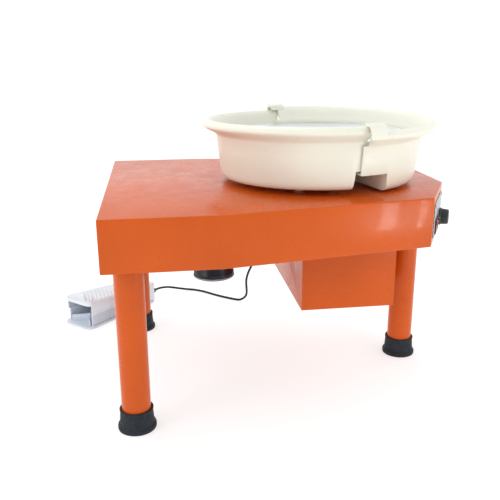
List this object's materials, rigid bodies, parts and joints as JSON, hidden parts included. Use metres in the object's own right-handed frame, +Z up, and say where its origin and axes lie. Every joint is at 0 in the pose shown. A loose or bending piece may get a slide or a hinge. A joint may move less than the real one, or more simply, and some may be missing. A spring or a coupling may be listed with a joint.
{
  "type": "pottery wheel",
  "caption": "Electric pottery wheel: sheet-metal table on three tube legs, belt-driven wheel head in a split splash pan, motor, control box and foot pedal.",
  "frame": {"origin": "middle of the base of the object's box, on the floor, free cables left out", "axes": "+X towards the nose end with the wheel head, +Y away from the potter's side with the control panel, +Z up"},
  "size_m": [0.7692, 0.7187, 0.515],
  "materials": {
    "orange_paint": "gloss",
    "black_rubber": "matte",
    "turned_aluminium": "turned satin",
    "ivory_plastic": "gloss",
    "black_paint": "satin",
    "grey_metal": "satin",
    "steel": "brushed",
    "grey_plastic": "satin",
    "pale_grey_plastic": "satin",
    "black_plastic": "satin",
    "red_plastic": "gloss",
    "green_board": "satin"
  },
  "bodies": {
    "table": {"table_shell": "orange_paint", "leg_front_left": "orange_paint", "leg_back_left": "orange_paint", "leg_right": "orange_paint", "control_box": "orange_paint", "control_box_lid": "orange_paint", "foot_front_left": "black_rubber", "foot_back_left": "black_rubber", "foot_right": "black_rubber", "drive_belt": "black_rubber", "pedal_pad_1": "black_rubber", "pedal_pad_2": "black_rubber", "pedal_pad_3": "black_rubber", "pedal_pad_4": "black_rubber", "controller_heatsink": "turned_aluminium", "motor_body": "black_paint", "motor_bracket": "black_paint", "leg_flange_front_left": "grey_metal", "leg_flange_back_left": "grey_metal", "leg_flange_right": "grey_metal", "bearing_housing": "grey_metal", "motor_end_cap": "grey_metal", "bearing_upper": "steel", "bearing_lower": "steel", "motor_bolt_1": "steel", "motor_bolt_2": "steel", "motor_bolt_3": "steel", "motor_bolt_4": "steel", "control_panel": "steel", "pedal_pin": "steel", "pedal_end_housing": "grey_plastic", "pedal_base": "pale_grey_plastic", "box_cable_gland": "black_plastic", "box_lead_gland": "black_plastic", "power_inlet": "black_plastic", "power_switch_bezel": "black_plastic", "direction_switch_bezel": "black_plastic", "pedal_sensor": "black_plastic", "pedal_gland": "black_plastic", "pedal_cable": "black_plastic", "motor_lead": "black_plastic", "controller_board": "green_board"},
    "wheel": {"wheel_head": "turned_aluminium", "head_screw_1": "steel", "head_screw_2": "steel", "head_screw_3": "steel", "wheel_hub": "turned_aluminium", "spindle_shaft": "steel", "drive_pulley": "grey_metal", "spindle_nut": "steel"},
    "motor_rotor": {"motor_shaft": "steel", "motor_pulley": "grey_metal"},
    "pedal_lever": {"pedal_tread": "grey_plastic"},
    "splash_pan_left": {"pan_left": "ivory_plastic"},
    "splash_pan_right": {"pan_right": "ivory_plastic"},
    "speed_knob": {"speed_knob": "black_plastic"},
    "power_rocker": {"power_rocker": "red_plastic"},
    "direction_rocker": {"direction_rocker": "black_plastic"}
  },
  "joints": [
    {"name": "wheel_spin", "type": "hinge", "parent": "table", "child": "wheel", "pos_m": [0.15374, -0.07765, 0.4], "axis": [0, 0, 1], "continuous": true},
    {"name": "motor_spin", "type": "hinge", "parent": "table", "child": "motor_rotor", "pos_m": [-0.05076, -0.07765, 0.326], "axis": [0, 0, 1], "continuous": true},
    {"name": "pedal_tilt", "type": "hinge", "parent": "table", "child": "pedal_lever", "pos_m": [-0.23504, 0.29116, 0.038], "axis": [0.7314, -0.682, 0], "range_deg": [0, 7]},
    {"name": "pan_left_slide", "type": "slide", "parent": "table", "child": "splash_pan_left", "axis": [-0.9799, -0.1994, 0], "range_m": [0, 0.2]},
    {"name": "pan_right_slide", "type": "slide", "parent": "table", "child": "splash_pan_right", "axis": [0.9799, 0.1994, 0], "range_m": [0, 0.2]},
    {"name": "speed_knob_turn", "type": "hinge", "parent": "table", "child": "speed_knob", "pos_m": [0.36395, -0.19039, 0.33], "axis": [0.8779, -0.4789, 0], "range_deg": [-270, 0]},
    {"name": "power_rocker_tilt", "type": "hinge", "parent": "table", "child": "power_rocker", "pos_m": [0.328, -0.25735, 0.33], "axis": [0.4789, 0.8779, 0], "range_deg": [-16, 0]},
    {"name": "direction_rocker_tilt", "type": "hinge", "parent": "table", "child": "direction_rocker", "pos_m": [0.34045, -0.23452, 0.33], "axis": [0.4789, 0.8779, 0], "range_deg": [-16, 0]}
  ],
  "couplings": [
    {"joint": "motor_spin", "follows": "wheel_spin", "ratio": 5}
  ]
}
